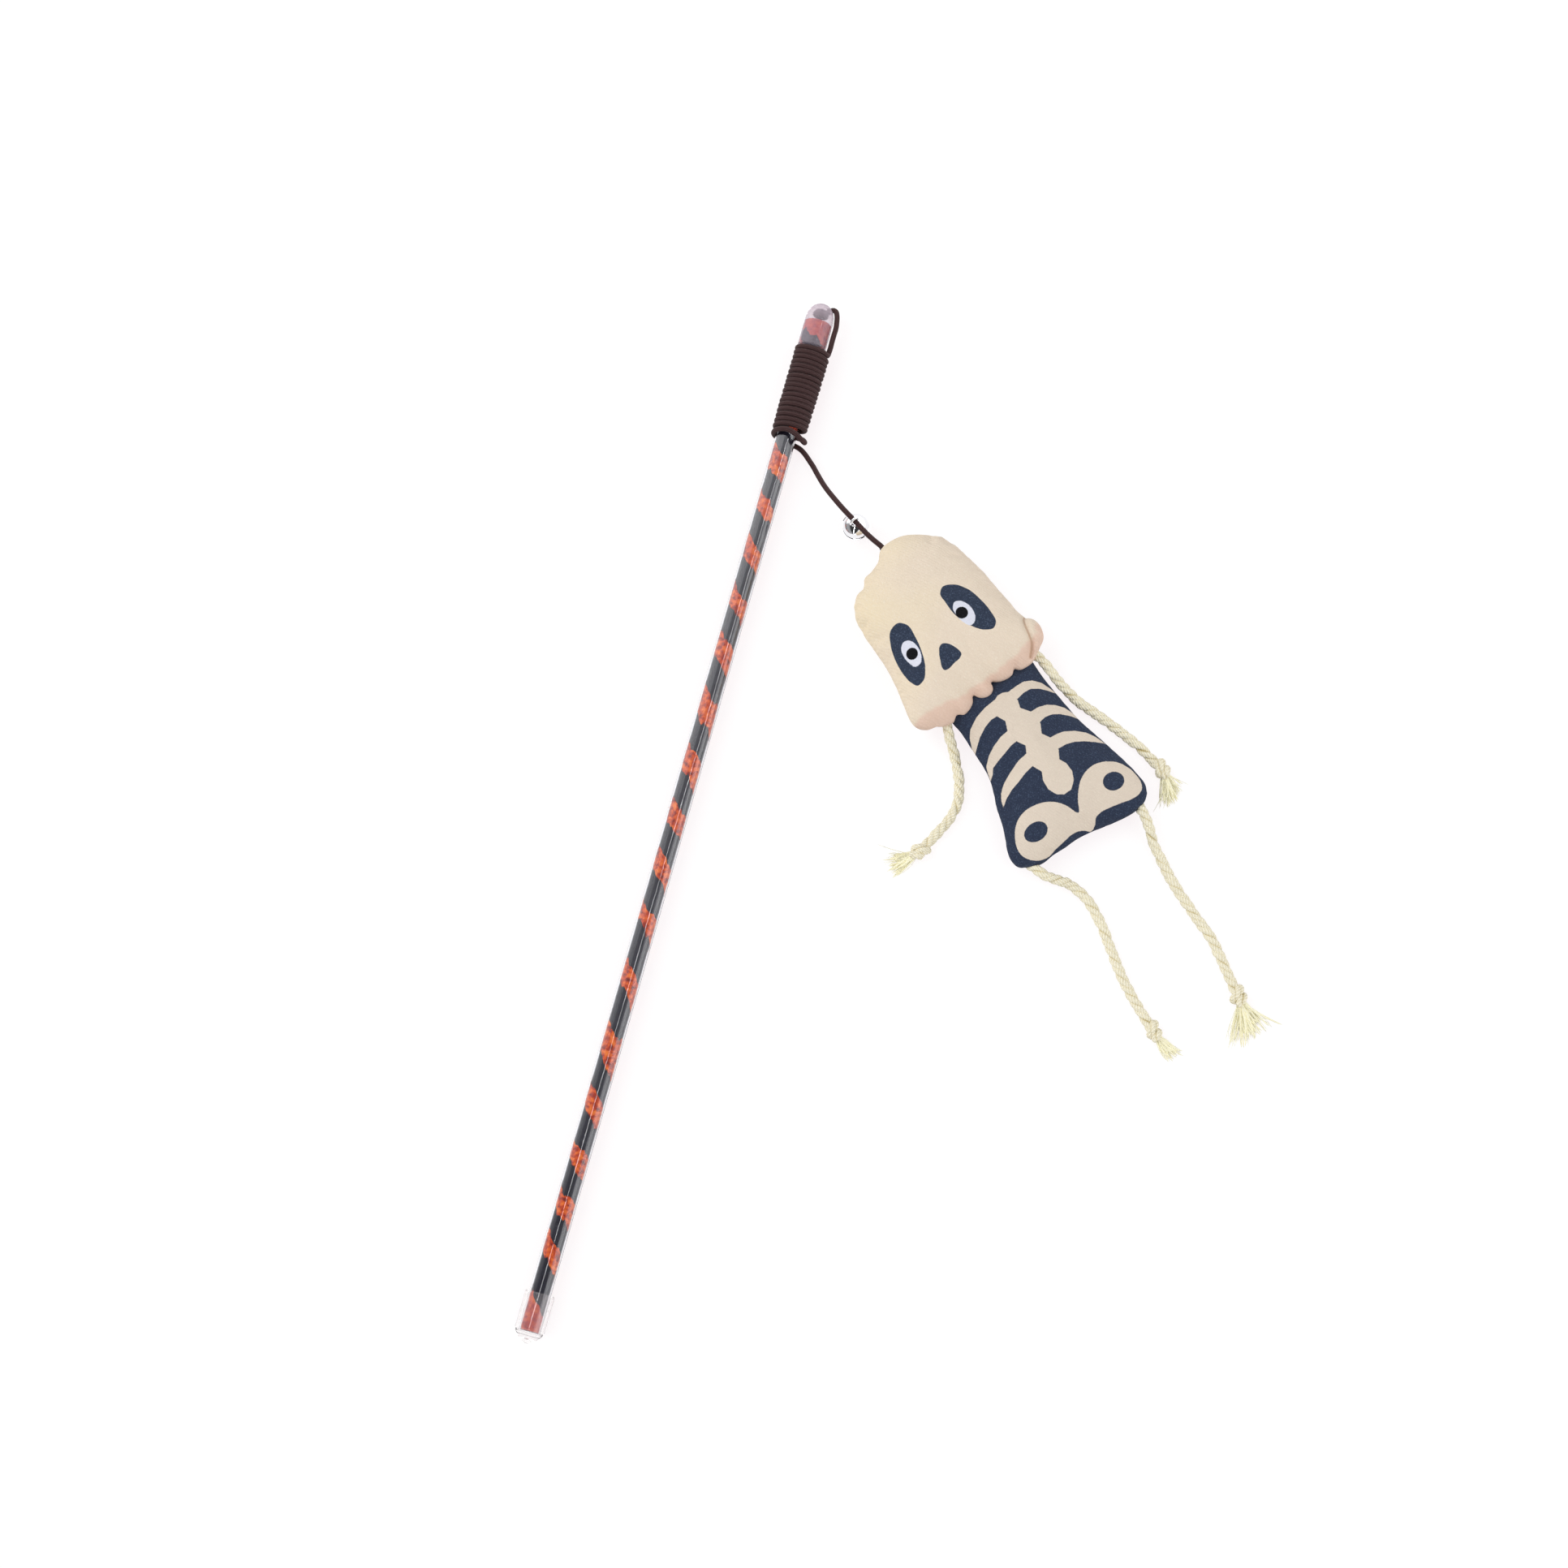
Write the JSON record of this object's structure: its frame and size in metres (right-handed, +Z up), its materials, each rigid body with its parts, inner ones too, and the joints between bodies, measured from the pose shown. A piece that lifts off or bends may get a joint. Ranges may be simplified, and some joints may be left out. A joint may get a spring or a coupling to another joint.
{
  "type": "cat teaser wand",
  "caption": "Cat teaser wand lying on a table: clear striped tube with rubber end caps, wound elastic cord, jingle bell and a stuffed doll with rope limbs.",
  "frame": {"origin": "table point under the middle of the box round the wand, bell, head and torso", "axes": "+Z up from the table, +Y along the wand towards its cord end, +X from the wand towards the doll"},
  "size_m": [0.232, 0.4001, 0.0235],
  "materials": {
    "clear_tube": "clear, gloss",
    "black_film": "gloss film",
    "orange_fuzz": "fuzzy chenille",
    "clear_rubber": "clear soft vinyl",
    "elastic_cord": "braided elastic",
    "plated_steel": "polished",
    "steel_pellet": "plain",
    "printed_cloth": "printed woven cloth",
    "navy_cloth": "printed woven cloth",
    "stuffing": "fibre filling",
    "cotton_rope": "three-strand twisted cotton"
  },
  "bodies": {
    "wand": {"wand_tube": "clear_tube", "black_liner": "black_film", "orange_strip": "orange_fuzz", "upper_cap": "clear_rubber", "lower_cap": "clear_rubber", "stop_knot": "elastic_cord", "tip_run": "elastic_cord", "cord_winding": "elastic_cord"},
    "lead": {"lead_cord": "elastic_cord"},
    "bell": {"bell_upper_shell": "plated_steel", "bell_lower_shell": "plated_steel", "bell_eyelet": "plated_steel"},
    "pellet": {"bell_pellet": "steel_pellet"},
    "doll": {"head_front_panel": "printed_cloth", "head_back_panel": "printed_cloth", "head_filling": "stuffing", "anchor_knot": "elastic_cord", "torso_front_panel": "navy_cloth", "torso_back_panel": "navy_cloth", "torso_filling": "stuffing"},
    "left_arm": {"left_arm_rope": "cotton_rope", "left_arm_knot": "cotton_rope", "left_arm_tassel": "cotton_rope"},
    "right_arm": {"right_arm_rope": "cotton_rope", "right_arm_knot": "cotton_rope", "right_arm_tassel": "cotton_rope"},
    "left_leg": {"left_leg_rope": "cotton_rope", "left_leg_knot": "cotton_rope", "left_leg_tassel": "cotton_rope"},
    "right_leg": {"right_leg_rope": "cotton_rope", "right_leg_knot": "cotton_rope", "right_leg_tassel": "cotton_rope"}
  },
  "joints": [
    {"name": "cord_swing", "type": "hinge", "parent": "wand", "child": "lead", "pos_m": [-0.0685, 0.13981, 0.00266], "axis": [0, 0, 1], "range_deg": [-10, 90]},
    {"name": "doll_swing", "type": "hinge", "parent": "lead", "child": "doll", "pos_m": [-0.0331, 0.11171, 0.01156], "axis": [0, 0, 1], "range_deg": [-10, 30]},
    {"name": "bell_slide", "type": "slide", "parent": "lead", "child": "bell", "axis": [0.8384, -0.545, 0], "range_m": [-0.004, 0.004]},
    {"name": "pellet_roll", "type": "hinge", "parent": "bell", "child": "pellet", "pos_m": [-0.04456, 0.11844, 0.005], "axis": [0.8384, -0.545, 0], "range_deg": [-60, 60]},
    {"name": "left_arm_swing", "type": "hinge", "parent": "doll", "child": "left_arm", "pos_m": [0.00893, 0.0505, 0.007], "axis": [0, 0, 1], "range_deg": [-50, 2]},
    {"name": "right_arm_swing", "type": "hinge", "parent": "doll", "child": "right_arm", "pos_m": [0.03812, 0.08225, 0.007], "axis": [0, 0, 1], "range_deg": [-2, 60]},
    {"name": "left_leg_swing", "type": "hinge", "parent": "doll", "child": "left_leg", "pos_m": [0.05359, 0.00833, 0.007], "axis": [0, 0, 1], "range_deg": [-25, 3]},
    {"name": "right_leg_swing", "type": "hinge", "parent": "doll", "child": "right_leg", "pos_m": [0.08475, 0.03775, 0.007], "axis": [0, 0, 1], "range_deg": [-3, 25]}
  ]
}
